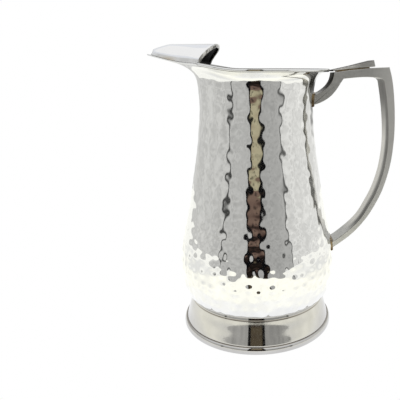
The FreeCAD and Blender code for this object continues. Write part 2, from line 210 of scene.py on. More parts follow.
def tent_shader(here):
    """The cloth by bearing, in degrees from the front, and by height above the table."""
    x = here.node("ShaderNodeSeparateXYZ", {}, here)
    y, z = x.other("Y"), x.other("Z")
    bearing = x.maths("ARCTAN2", x, 0.0 - y) * (180 / math.pi)
    walls = [
        (-180, 0.80), (-166, 0.70), (-138, 0.64), (-95, 0.64), (-70, 0.62), (-53.0, 0.58),
        (-52.0, 0.03), (-50.0, 0.04), (-49.0, 0.58), (-44, 0.53), (-13.6, 0.50), (9.4, 0.42),
        (30, 0.42), (46.0, 0.46), (47.0, 0.03), (49.0, 0.04), (50.0, 0.76), (70, 0.76),
        (95, 0.84), (138, 0.84), (166, 0.95), (180, 0.80),
    ]
    cloth = bearing.node(
        "ShaderNodeValToRGB",
        {"stops": [(0.5 + side / 360, (v, v, v * 0.985)) for side, v in walls]},
        bearing / 360.0 + 0.5,
    )
    rise = (z - EYE_LEVEL).maths("ARCTAN2", z - EYE_LEVEL, TENT_RADIUS) * (180 / math.pi)
    folds = here.noise(8.0, 2.0).between(0.3, 0.7)
    folded = 0.84 + 0.32 * folds
    lit = cloth.node("ShaderNodeVectorMath", {"operation": "SCALE"}, cloth, Scale=folded)
    dark_side = bearing.within(139, 141, 166, 168) * rise.within(-4.0, -1.0, 8.0, 12.0)
    top = rise.between(14.0, 30.0)
    glow = top.blend((dark_side * 0.9).blend(lit, (0.02, 0.02, 0.02)), (0.86, 0.88, 0.92))
    return glow.node("ShaderNodeEmission", {}, glow, 1.0)


tent_mesh = bmesh.new()
post = [tent_mesh.verts.new((TENT_RADIUS, 0.0, z)) for z in (TENT_LOW, TENT_HIGH)]
upright = [tent_mesh.edges.new(post)]
bmesh.ops.spin(
    tent_mesh, geom=post + upright, axis=(0, 0, 1), cent=(0, 0, 0), steps=TENT_STEPS,
    angle=math.radians(360), use_merge=True,
)
tent = place("studio_tent", tent_mesh, new_material("studio_tent", tent_shader))
tent.visible_camera = False

# The opening stands close in front of the pitcher, and the camera looks through it unseen.
SLIT_Y = -0.30
SLIT_LEFT, SLIT_RIGHT = -0.069, 0.052
SLIT_EDGE, SLIT_FADE = 0.017, 0.006
SLIT_LOW, SLIT_HIGH = -0.30, 0.55


def slit_shader(here):
    """The opening: black edges, and beyond them khaki over brown over nearly black."""
    x = here.node("ShaderNodeSeparateXYZ", {}, here)
    z = x.other("Z")
    levels = [
        (-0.300, (0.004, 0.004, 0.005)), (-0.020, (0.020, 0.015, 0.012)),
        (0.004, (0.050, 0.036, 0.028)), (0.012, (0.130, 0.105, 0.070)),
        (0.020, (0.130, 0.105, 0.070)), (0.028, (0.006, 0.005, 0.005)),
        (0.060, (0.018, 0.012, 0.010)), (0.075, (0.006, 0.005, 0.004)),
        (0.090, (0.050, 0.030, 0.024)), (0.104, (0.012, 0.009, 0.008)),
        (0.118, (0.090, 0.056, 0.045)), (0.126, (0.150, 0.098, 0.078)),
        (0.150, (0.200, 0.135, 0.105)), (0.161, (0.170, 0.115, 0.085)),
        (0.166, (0.400, 0.360, 0.240)), (0.186, (0.480, 0.440, 0.300)),
        (0.240, (0.360, 0.300, 0.200)), (0.550, (0.030, 0.025, 0.020)),
    ]
    beyond = z.node(
        "ShaderNodeValToRGB",
        {"stops": [((h - SLIT_LOW) / (SLIT_HIGH - SLIT_LOW), c) for h, c in levels]},
        z.between(SLIT_LOW, SLIT_HIGH),
    )
    stains = here.noise(34.0, 1.0).between(0.50, 0.70)
    beyond = (stains * z.between(0.03, 0.06) * 0.85).blend(beyond, (0.012, 0.010, 0.009))
    left, right = SLIT_LEFT + SLIT_EDGE, SLIT_RIGHT - SLIT_EDGE
    inside = x.within(left, left + SLIT_FADE, right - SLIT_FADE, right)
    colour = inside.blend((0.004, 0.004, 0.005), beyond)
    return colour.node("ShaderNodeEmission", {}, colour, 1.0)


slit_mesh = bmesh.new()
bmesh.ops.create_grid(slit_mesh, x_segments=1, y_segments=1, size=0.5)
for vert in slit_mesh.verts:
    vert.co = (
        SLIT_LEFT + (vert.co.x + 0.5) * (SLIT_RIGHT - SLIT_LEFT), SLIT_Y,
        SLIT_LOW + (vert.co.y + 0.5) * (SLIT_HIGH - SLIT_LOW),
    )
slit = place("studio_slit", slit_mesh, new_material("studio_slit", slit_shader))
slit.visible_camera = False

studio_white = bpy.data.worlds.new("studio_white")
studio_white.use_nodes = True
studio_white.node_tree.nodes["Background"].inputs["Color"].default_value = (1.0, 1.0, 1.0, 1.0)
bpy.context.scene.world = studio_white


# The body is one sheet of steel, raised to shape, with its lip pulled out into a spout, and
# planished all over from the belly to the neck with round hammer marks that just overlap.
BODY_WALL = 0.0008
BODY_OUTLINE = [
    (46.0, 29.0), (53.0, 29.0), (59.4, 29.2), (62.6, 30.3), (64.6, 32.6), (66.1, 36.5),
    (67.7, 43.0), (68.9, 52.0), (69.3, 62.0), (68.9, 71.0), (66.9, 84.0), (63.3, 99.5),
    (59.8, 116.0), (56.4, 136.0), (52.9, 156.0), (50.3, 176.0), (48.8, 193.0), (48.5, 203.0),
    (49.0, 211.0),
]
BACK_FLARE = [
    (49.0, 211.0), (49.4, 216.0), (50.2, 220.4), (51.5, 223.3), (53.6, 225.3), (56.4, 226.9),
    (59.4, 228.1),
]
SPOUT_FLARE = [
    (49.0, 211.0), (49.4, 217.4), (50.8, 223.6), (54.0, 229.0), (61.0, 233.6), (73.6, 238.0),
    (90.8, 241.5),
]
SPOUT_DECAY = 11.5
SPOUT_ROUNDING = 8.0
SHOULDER_START = 80.0
SHOULDER_SPAN = 45.0
SHOULDER_PULL = 0.0023
SHOULDER_LIFT = 0.0049
HAMMER_PITCH = 0.0100
HAMMER_ROW_STEP = 0.0088
HAMMER_DEPTH_NECK = 0.00026
HAMMER_DEPTH_BELLY = 0.00078
HAMMER_SPREAD_NECK = 0.0025
HAMMER_SPREAD_BELLY = 0.0021
HAMMER_UNEVEN_TURN, HAMMER_UNEVEN_RISE = 0.22, 0.34
HAMMER_NEIGHBOURS = 4
HAMMER_REST = 0.28
HAMMER_TOP, HAMMER_TOP_FADE = 0.2235, 0.0045
HAMMER_LOW, HAMMER_LOW_FADE = 0.0300, 0.0040
HAMMER_BELLY_TOP, HAMMER_BELLY_SPAN = 0.125, 0.055
BODY_STEPS = 340
CURVE_STEPS = 40
OUTER_RINGS, OUTER_FLARE_RINGS = 164, 32
INNER_RINGS, INNER_FLARE_RINGS = 44, 16
HAMMERED_FLARE_RINGS = 14
RING_SLACK = 0.0003


def smooth_line(points, count):
    """Evenly spaced points, in metres, on a smooth curve through (across, height) points in mm."""
    corners = [Vector((across, 0.0, height)) * 0.001 for across, height in points]
    fine = []
    for i in range(len(corners) - 1):
        start, end = corners[i], corners[i + 1]
        before, after = corners[max(i - 1, 0)], corners[min(i + 2, len(corners) - 1)]
        span = (end - start).length
        leave = (end - before) * span / (span + (start - before).length)
        arrive = (after - start) * span / (span + (after - end).length)
        for k in range(CURVE_STEPS):
            t = k / CURVE_STEPS
            fine.append(
                start * (2 * t**3 - 3 * t**2 + 1) + leave * (t**3 - 2 * t**2 + t)
                + end * (3 * t**2 - 2 * t**3) + arrive * (t**3 - t**2)
            )
    fine.append(corners[-1])
    return spaced(fine, count)


def spaced(line, count):
    """A number of evenly spaced points along a line of points."""
    reached = [0.0]
    for a, b in zip(line, line[1:]):
        reached.append(reached[-1] + (b - a).length)
    result, i = [], 0
    for k in range(count):
        want = reached[-1] * k / (count - 1)
        while i < len(line) - 2 and reached[i + 1] < want:
            i += 1
        share = (want - reached[i]) / max(reached[i + 1] - reached[i], 1e-9)
        result.append(line[i].lerp(line[i + 1], min(share, 1.0)))
    return result


def inset(line, depth):
    """A (radius, height) line moved inwards, square to itself."""
    moved = []
    for i, point in enumerate(line):
        along = (line[min(i + 1, len(line) - 1)] - line[max(i - 1, 0)]).normalized()
        moved.append(point - Vector((along.z, 0.0, -along.x)) * depth)
    return moved


def tip_share(angle):
    """1 at the spout's tip, falling away to each side of it."""
    rounded = math.sqrt(angle * angle + SPOUT_ROUNDING**2) - SPOUT_ROUNDING
    return math.exp(-rounded / SPOUT_DECAY)


def shoulder_share(angle):
    """1 across the spout, easing to 0 at the sides of the mouth."""
    t = min(1.0, max(0.0, (SHOULDER_START - abs(angle)) / SHOULDER_SPAN))
    return t * t * (3 - 2 * t)


LIP_BACK = Vector((BACK_FLARE[-1][0], 0.0, BACK_FLARE[-1][1])) * 0.001
LIP_TIP = Vector((SPOUT_FLARE[-1][0], 0.0, SPOUT_FLARE[-1][1])) * 0.001
TIP_PULL = LIP_TIP.x - LIP_BACK.x - SHOULDER_PULL
TIP_LIFT = LIP_TIP.z - LIP_BACK.z - SHOULDER_LIFT


def pull_at(angle):
    """How far the lip stands further out than at the back."""
    return TIP_PULL * tip_share(angle) + SHOULDER_PULL * shoulder_share(angle)


def lift_at(angle):
    """How far the lip stands higher than at the back."""
    return TIP_LIFT * tip_share(angle) + SHOULDER_LIFT * shoulder_share(angle)


def spin_round(mesh, line, steps, closed=False):
    """Spins a line of (radius, height) points once round the body's axis, and gives its verts."""
    known = set(mesh.verts)
    verts = [mesh.verts.new((-p.x, 0.0, p.z)) for p in line]
    pairs = list(zip(verts, verts[1:] + verts[:1] if closed else verts[1:]))
    edges = [mesh.edges.new(pair) for pair in pairs]
    bmesh.ops.spin(
        mesh, geom=verts + edges, axis=(0, 0, 1), cent=(0, 0, 0), steps=steps,
        angle=math.radians(360), use_merge=True,
    )
    return [vert for vert in mesh.verts if vert not in known]


def pour_out(verts, back, spout):
    """Moves the rings of the flare out to the spout, each by its share of the lip's pull."""
    rings = {round(rear.z, 6): (rear, front) for rear, front in zip(back, spout)}
    for vert in verts:
        rear, front = rings.get(round(vert.co.z, 6), (None, None))
        if rear is None or math.hypot(vert.co.x, vert.co.y) < rear.x - RING_SLACK:
            continue
        turn = math.atan2(vert.co.y, -vert.co.x)
        angle = math.degrees(turn)
        radius = rear.x + pull_at(angle) / pull_at(0) * (front.x - rear.x)
        height = rear.z + lift_at(angle) / lift_at(0) * (front.z - rear.z)
        vert.co = (-radius * math.cos(turn), radius * math.sin(turn), height)


def hammer_marks(line):
    """Centres of the hammer marks on the outer face, row by row up the body, a little uneven."""
    rng = random.Random(4)
    length = sum((b - a).length for a, b in zip(line, line[1:]))
    marks = []
    for row in spaced(line, int(length / HAMMER_ROW_STEP) + 1):
        number = round(2 * math.pi * row.x / HAMMER_PITCH)
        turn = rng.random()
        for j in range(number):
            uneven = rng.uniform(-HAMMER_UNEVEN_TURN, HAMMER_UNEVEN_TURN)
            angle = 2 * math.pi * (j + turn + uneven) / number
            rise = rng.uniform(-HAMMER_UNEVEN_RISE, HAMMER_UNEVEN_RISE) * HAMMER_ROW_STEP
            marks.append(
                Vector((row.x * math.cos(angle), row.x * math.sin(angle), row.z + rise))
            )
    tree = kdtree.KDTree(len(marks))
    for number, mark in enumerate(marks):
        tree.insert(mark, number)
    tree.balance()
    return tree


def struck_depth(marks, spot):
    """How far the hammered face lies from the smooth one at a spot: soft round dimples."""
    below = (HAMMER_BELLY_TOP - spot.z) / HAMMER_BELLY_SPAN
    belly_share = min(1.0, max(0.0, below)) ** 2
    depth = HAMMER_DEPTH_NECK + (HAMMER_DEPTH_BELLY - HAMMER_DEPTH_NECK) * belly_share
    spread = HAMMER_SPREAD_NECK + (HAMMER_SPREAD_BELLY - HAMMER_SPREAD_NECK) * belly_share
    near = marks.find_n(spot, HAMMER_NEIGHBOURS)
    dimple = sum(math.exp(-d * d / (2 * spread**2)) for _, _, d in near)
    return depth * (HAMMER_REST - dimple)


def hammered_steel_shader(here):
    """Mirror-polished steel, with faint polishing haze that differs from mark to mark."""
    haze = here.noise(38.0, 3.0)
    scratches = here.noise(700.0, 3.0)
    return here.node(
        "ShaderNodeBsdfPrincipled", {}, Metallic=1.0,
        Base_Color=haze.between(0.35, 0.65).blend((0.845, 0.845, 0.825), (0.875, 0.872, 0.85)),
        Roughness=0.030 + 0.035 * haze + 0.02 * scratches,
        Normal=here.node("ShaderNodeBump", {}, Strength=0.004, Distance=0.001, Height=scratches),
    )


def inner_steel_shader(here):
    """The inside, left satin from the spinning, with fine rings."""
    rings = here.stretched(0.03, 0.03, 1.0).noise(900.0, 2.0)
    haze = here.noise(60.0, 3.0)
    return here.node(
        "ShaderNodeBsdfPrincipled", {}, Metallic=1.0,
        Base_Color=haze.blend((0.42, 0.42, 0.41), (0.54, 0.53, 0.51)),
        Roughness=0.24 + 0.12 * rings,
        Normal=here.node("ShaderNodeBump", {}, Strength=0.05, Distance=0.001, Height=rings),
    )


hammered_steel = new_material("hammered_steel", hammered_steel_shader)
inner_steel = new_material("inner_steel", inner_steel_shader)

belly = smooth_line(BODY_OUTLINE, OUTER_RINGS)
back_flare = smooth_line(BACK_FLARE, OUTER_FLARE_RINGS)
spout_flare = smooth_line(SPOUT_FLARE, OUTER_FLARE_RINGS)
body_mesh = bmesh.new()
outside = spin_round(body_mesh, belly[:-1] + back_flare, BODY_STEPS)
pour_out(outside, back_flare, spout_flare)
bmesh.ops.recalc_face_normals(body_mesh, faces=body_mesh.faces)
body_mesh.normal_update()
marks = hammer_marks(belly + back_flare[1:HAMMERED_FLARE_RINGS])
for vert in outside:
    top = min(1.0, max(0.0, (HAMMER_TOP - vert.co.z) / HAMMER_TOP_FADE))
    low = min(1.0, max(0.0, (vert.co.z - HAMMER_LOW) / HAMMER_LOW_FADE))
    if top * low > 0.0:
        vert.co += vert.normal * top * low * struck_depth(marks, vert.co)
skin = set(body_mesh.faces)
inner_belly = inset(smooth_line(BODY_OUTLINE, INNER_RINGS), BODY_WALL)
inner_back = inset(smooth_line(BACK_FLARE, INNER_FLARE_RINGS), BODY_WALL)
inner_spout = inset(smooth_line(SPOUT_FLARE, INNER_FLARE_RINGS), BODY_WALL)
inside = spin_round(body_mesh, inner_belly[:-1] + inner_back, BODY_STEPS)
pour_out(inside, inner_back, inner_spout)
for face in set(body_mesh.faces) - skin:
    face.material_index = 1
lip = [e for e in body_mesh.edges if e.is_boundary and e.verts[0].co.z > 0.2]
bmesh.ops.bridge_loops(body_mesh, edges=lip)
bmesh.ops.holes_fill(body_mesh, edges=[e for e in body_mesh.edges if e.is_boundary])
bmesh.ops.recalc_face_normals(body_mesh, faces=body_mesh.faces)
body = place("body", body_mesh, hammered_steel, inner_steel)
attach(body, "root")
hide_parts("body_shell")


# The lip is rolled round a wire, from one end of the ice guard round the back to the other.
# It is the same steel, polished smooth, with dark lines of painted shade along the top and
# underside of the bead.
RIM_WIRE_RADIUS = 0.0014
RIM_WIRE_OUT = 0.0010
RIM_WIRE_UP = 0.0011
RIM_WIRE_START = 46.6
RIM_WIRE_SIDES = 14
RIM_WIRE_STEPS = 220


def bead_shader(here):
    """Bright steel on the bead, with painted shade as dark lines along its top and underside."""
    haze = here.noise(70.0, 3.0)
    slope = here.node("ShaderNodeSeparateXYZ", {}, here.other("Normal")).other("Z")
    # Painted shade: the bead's steep top and underside flanks are coloured dark.
    painted_dark = slope.maths("ABSOLUTE", slope).between(0.52, 0.76) * (0.7 + 0.4 * haze)
    metal = haze.blend((0.78, 0.78, 0.76), (0.84, 0.84, 0.82))
    return here.node(
        "ShaderNodeBsdfPrincipled", {}, Metallic=1.0,
        Base_Color=painted_dark.blend(metal, (0.07, 0.066, 0.06)),
        Roughness=0.06 + 0.10 * haze,
        Normal=here.node(
            "ShaderNodeBump", {}, Strength=0.01, Distance=0.001, Height=here.noise(800.0)
        ),
    )


bead_steel = new_material("bead_steel", bead_shader)

rim_mesh = bmesh.new()
bmesh.ops.create_circle(rim_mesh, cap_ends=True, radius=RIM_WIRE_RADIUS, segments=RIM_WIRE_SIDES)
bmesh.ops.rotate(
    rim_mesh, verts=rim_mesh.verts, cent=(0, 0, 0), matrix=Matrix.Rotation(math.radians(90), 3, "X")
)
bmesh.ops.translate(
    rim_mesh, verts=rim_mesh.verts,
    vec=(-LIP_BACK.x - RIM_WIRE_OUT, 0.0, LIP_BACK.z + RIM_WIRE_UP),
)
bmesh.ops.rotate(
    rim_mesh, verts=rim_mesh.verts, cent=(0, 0, 0),
    matrix=Matrix.Rotation(math.radians(RIM_WIRE_START), 3, "Z"),
)
bmesh.ops.spin(
    rim_mesh, geom=list(rim_mesh.verts) + list(rim_mesh.edges), axis=(0, 0, 1), cent=(0, 0, 0),
    steps=RIM_WIRE_STEPS, angle=math.radians(360 - 2 * RIM_WIRE_START),
)
bmesh.ops.holes_fill(rim_mesh, edges=[e for e in rim_mesh.edges if e.is_boundary])
for vert in rim_mesh.verts:
    turn = math.atan2(vert.co.y, -vert.co.x)
    radius = math.hypot(vert.co.x, vert.co.y) + pull_at(math.degrees(turn))
    height = vert.co.z + lift_at(math.degrees(turn))
    vert.co = (-radius * math.cos(turn), radius * math.sin(turn), height)
bmesh.ops.recalc_face_normals(rim_mesh, faces=rim_mesh.faces)
rim_bead = place("rim_bead", rim_mesh, bead_steel)
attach(rim_bead, "root")
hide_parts("rim_wire")


# The ice guard is one sheet folded into a low arched roof with two short skirts. The skirts
# stand on the spout and are brazed to it; its nose and rear are open, and its inside is dull.
GUARD_WALL = 0.0009
GUARD_ANGLE = 46.0
GUARD_NOSE_ANGLE = 5.0
GUARD_INSET = 0.0007
GUARD_SKIRT_REAR = 0.0046
GUARD_SKIRT_NOSE = 0.0030
GUARD_RIDGE = 0.2500
GUARD_NOSE_RIDGE = 0.2456
GUARD_NOSE_BEND = -0.070
GUARD_REAR_LEAN = 0.0104
GUARD_NOSE_LEAN = 0.0018
GUARD_ARCH_POWER = 3.4
GUARD_LEAN_POWER = 3.7
GUARD_LEAN_SOFTNESS = 1.33
GUARD_SKIRT_SHARE = 0.14
GUARD_NOSE_LEAN_POWER = 8
GUARD_NOSE_FALL_POWER = 1.3
GUARD_CROWDING = 0.8
GUARD_STEPS_ALONG, GUARD_STEPS_ACROSS = 56, 64
GUARD_SMOOTHINGS = 2


def guard_foot(share):
    """Where a skirt stands, on the side towards +Y, and how high it is, from rear to nose."""
    angle = GUARD_ANGLE + (GUARD_NOSE_ANGLE - GUARD_ANGLE) * share
    radius = LIP_BACK.x + pull_at(angle) - GUARD_INSET
    turn = math.radians(angle)
    foot = Vector(
        (-radius * math.cos(turn), radius * math.sin(turn), LIP_BACK.z + lift_at(angle) + BODY_WALL)
    )
    return foot, GUARD_SKIRT_REAR + (GUARD_SKIRT_NOSE - GUARD_SKIRT_REAR) * share


def guard_point(along, across):
    """A point of the guard: along 0 at the rear and 1 at the nose, across -1 to 1."""
    share = along**GUARD_CROWDING
    foot, skirt = guard_foot(share)
    reach = min(abs(across), 1.0) * (1 + GUARD_SKIRT_SHARE)
    v = min(reach, 1.0)
    down = max(reach - 1.0, 0.0) / GUARD_SKIRT_SHARE
    bulge = (1 - v**GUARD_LEAN_POWER) ** GUARD_LEAN_SOFTNESS
    nose_lean = GUARD_NOSE_LEAN * share**GUARD_NOSE_LEAN_POWER * (1 - down)
    x = foot.x + GUARD_REAR_LEAN * (1 - share) ** 2 * bulge + nose_lean
    nose_x = guard_foot(1.0)[0].x
    falling = max(0.0, (GUARD_NOSE_BEND - x) / (GUARD_NOSE_BEND - nose_x))
    ridge = GUARD_RIDGE + (GUARD_NOSE_RIDGE - GUARD_RIDGE) * falling**GUARD_NOSE_FALL_POWER
    fold = foot.z + skirt
    height = fold + (ridge - fold) * (1 - v**GUARD_ARCH_POWER) - skirt * down
    return Vector((x, math.copysign(foot.y * v, across), height))


def dull_steel_shader(here):
    """The guard's unpolished underside, coloured near black and mottled."""
    # Noise mottles the near-black colour.
    scale = here.noise(160.0, 4.0)
    return here.node(
        "ShaderNodeBsdfPrincipled", {}, Metallic=0.9,
        Base_Color=scale.blend((0.010, 0.010, 0.011), (0.035, 0.034, 0.033)),
        Roughness=0.35 + 0.2 * scale,
        Normal=here.node("ShaderNodeBump", {}, Strength=0.1, Distance=0.001, Height=scale),
    )


def guard_steel_shader(here):
    """Polished steel with a straw-coloured heat stain low on the walls, by the brazing."""
    x = here.node("ShaderNodeSeparateXYZ", {}, here)
    slope = here.node("ShaderNodeSeparateXYZ", {}, here.other("Normal")).other("Z")
    haze = here.noise(70.0, 3.0)
    wall = (1.0 - slope.between(0.15, 0.4)) * (1.0 - x.other("Z").between(0.2380, 0.2402))
    stain = wall * x.within(-0.085, -0.079, -0.070, -0.062)
    metal = haze.blend((0.80, 0.80, 0.80), (0.86, 0.86, 0.86))
    return here.node(
        "ShaderNodeBsdfPrincipled", {}, Metallic=1.0,
        Base_Color=(stain * 0.75).blend(metal, (0.76, 0.66, 0.50)),
        Roughness=0.05 + 0.06 * haze,
        Normal=here.node(
            "ShaderNodeBump", {}, Strength=0.01, Distance=0.001, Height=here.noise(800.0)
        ),
    )


guard_steel = new_material("guard_steel", guard_steel_shader)
dull_steel = new_material("dull_steel", dull_steel_shader)

guard_mesh = bmesh.new()
bmesh.ops.create_grid(
    guard_mesh, x_segments=GUARD_STEPS_ALONG, y_segments=GUARD_STEPS_ACROSS, size=1.0
)
for vert in guard_mesh.verts:
    vert.co = guard_point((vert.co.x + 1) / 2, vert.co.y)
inner_verts = [v for v in guard_mesh.verts if not v.is_boundary]
for _ in range(GUARD_SMOOTHINGS):
    bmesh.ops.smooth_vert(
        guard_mesh, verts=inner_verts, factor=0.5, use_axis_x=True, use_axis_y=True, use_axis_z=True
    )
bmesh.ops.recalc_face_normals(guard_mesh, faces=guard_mesh.faces)
if sum(face.normal.z for face in guard_mesh.faces) < 0:
    bmesh.ops.reverse_faces(guard_mesh, faces=guard_mesh.faces)
ice_guard = place("ice_hood", guard_mesh, guard_steel, dull_steel)
sheet = ice_guard.modifiers.new("sheet", "SOLIDIFY")
sheet.thickness = GUARD_WALL
sheet.offset = -1.0
sheet.material_offset = 1
sheet.material_offset_rim = 0
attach(ice_guard, "root")
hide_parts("ice_guard")


# The guard's rear edge is turned down into a flat hem that stiffens it and keeps ice back.
# The hem is a strip of the same steel, its corners rounded by polishing.
HEM_DROP = 0.0028
HEM_END_DROP = 0.0004
HEM_END_POWER = 6
HEM_THICKNESS = 0.0012
HEM_ROUNDING = 0.0004
HEM_STEPS = 72


def hem_shader(here):
    """Duller than the roof, mottled from the folding."""
    spots = here.noise(420.0, 2.0).between(0.45, 0.62)
    haze = here.noise(90.0, 3.0)
    metal = haze.blend((0.50, 0.49, 0.45), (0.66, 0.65, 0.61))
    return here.node(
        "ShaderNodeBsdfPrincipled", {}, Metallic=1.0,
        Base_Color=(spots * 0.8).blend(metal, (0.13, 0.125, 0.11)),
        Roughness=0.16 + 0.14 * haze,
        Normal=here.node("ShaderNodeBump", {}, Strength=0.15, Distance=0.0005, Height=spots),
    )


hem_steel = new_material("hem_steel", hem_shader)

hem_mesh = bmesh.new()
acrosses = [(2 * k / HEM_STEPS - 1) / (1 + GUARD_SKIRT_SHARE) for k in range(HEM_STEPS + 1)]
rear = [guard_point(0.0, across) for across in acrosses]
top_verts = [hem_mesh.verts.new(point) for point in rear]
top_edges = [hem_mesh.edges.new(pair) for pair in zip(top_verts, top_verts[1:])]
lowered = bmesh.ops.extrude_edge_only(hem_mesh, edges=top_edges)["geom"]
for vert in (v for v in lowered if isinstance(v, bmesh.types.BMVert)):
    end = abs(vert.co.y) / rear[-1].y
    vert.co.z -= HEM_DROP + HEM_END_DROP * end**HEM_END_POWER
bmesh.ops.recalc_face_normals(hem_mesh, faces=hem_mesh.faces)
if sum(face.normal.x for face in hem_mesh.faces) < 0:
    bmesh.ops.reverse_faces(hem_mesh, faces=hem_mesh.faces)
hem = place("ice_hood_hem", hem_mesh, hem_steel)
strip = hem.modifiers.new("strip", "SOLIDIFY")
strip.thickness = HEM_THICKNESS
strip.offset = 1.0
rounding = hem.modifiers.new("rounding", "BEVEL")
rounding.width = HEM_ROUNDING
rounding.segments = 2
rounding.limit_method = "ANGLE"
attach(hem, "root")
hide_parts("ice_guard_hem")


# The handle is one casting: an S-shaped arm welded to the neck, a level bar, and a curved grip
# welded to the belly. It is linished to a satin grey with its edges eased, with painted shade on
# faces towards the body, on lower edges and under the thumb rest, and painted highlights on the
# grip and thumb rest.
HANDLE_EDGES = [
    [(44.0, 200.2), (44.0, 207.6)],
    [(44.0, 207.6), (50.0, 209.4), (55.0, 212.0), (59.8, 215.8), (63.0, 220.4), (64.3, 225.0),
     (64.5, 227.4)],
    [(64.5, 227.4), (77.3, 229.2), (88.0, 230.3), (98.0, 231.1), (110.4, 231.7)],
    [(110.4, 231.7), (113.4, 221.8), (116.0, 207.0), (118.0, 187.0), (118.4, 170.0),
     (116.9, 150.0), (112.2, 129.1), (106.3, 114.4), (97.8, 99.4), (84.7, 84.2), (64.0, 68.4)],
    [(64.0, 68.4), (64.0, 75.4)],
    [(64.0, 75.4), (74.0, 81.3), (91.5, 97.6), (100.9, 113.6), (106.4, 126.0), (110.8, 141.5),
     (113.0, 158.0), (113.3, 172.0), (111.9, 190.0), (109.7, 205.0), (107.0, 218.5)],
    [(107.0, 218.5), (105.9, 221.6), (102.6, 223.1)],
    [(102.6, 223.1), (95.0, 223.7), (86.3, 223.6), (72.6, 222.4)],
    [(72.6, 222.4), (70.3, 218.9), (67.2, 213.8), (62.6, 208.4), (57.2, 204.6), (51.5, 202.0),
     (44.0, 200.2)],
]
REST_FRONT, REST_REAR = 0.0629, 0.0988
BAR_FRONT, BAR_SLOPE = 0.2284, 0.115
ARM_BURIED, GRIP_BURIED = 0.056, 0.076
HANDLE_MIDDLE = 0.15
HANDLE_WIDTH_TOP = 0.023
HANDLE_WIDTH_BOTTOM = 0.018
TAPER_START, TAPER_END = 0.060, 0.200
HANDLE_EASING = 0.0011
HANDLE_SPACING = 0.0021
HANDLE_SLICES = 6


def cut_out(edges, width, spacing, easing, slices):
    """A side outline sawn from a slab of that width, with its sharp edges eased."""
    mesh = bmesh.new()
    outline = []
    for edge in edges:
        length = sum((Vector(b) - Vector(a)).length for a, b in zip(edge, edge[1:])) * 0.001
        outline += smooth_line(edge, max(2, round(length / spacing) + 1))[:-1]
    side = mesh.faces.new([mesh.verts.new((p.x, -width / 2, p.z)) for p in outline])
    bmesh.ops.bisect_plane(
        mesh, geom=list(mesh.verts) + list(mesh.edges) + list(mesh.faces),
        plane_co=(0, 0, TAPER_END), plane_no=(0, 0, 1),
    )
    grown = bmesh.ops.extrude_face_region(mesh, geom=list(mesh.faces))["geom"]
    bmesh.ops.translate(
        mesh, verts=[v for v in grown if isinstance(v, bmesh.types.BMVert)], vec=(0, width, 0)
    )
    bmesh.ops.recalc_face_normals(mesh, faces=mesh.faces)
    for number in range(1, slices):
        bmesh.ops.bisect_plane(
            mesh, geom=list(mesh.verts) + list(mesh.edges) + list(mesh.faces),
            plane_co=(0, (number / slices - 0.5) * width, 0), plane_no=(0, 1, 0),
        )
    sharp = [e for e in mesh.edges if e.is_manifold and e.calc_face_angle() > math.radians(40)]
    bmesh.ops.bevel(
        mesh, geom=sharp, offset=easing, affect="EDGES", segments=3, profile=0.5, material=-1,
        clamp_overlap=True,
    )
    return mesh


def body_radius(height):
    """The body's outer radius at a height below the flare."""
    for a, b in zip(belly, belly[1:]):
        if a.z <= height <= b.z:
            return a.lerp(b, (height - a.z) / max(b.z - a.z, 1e-9)).x
    return belly[-1].x


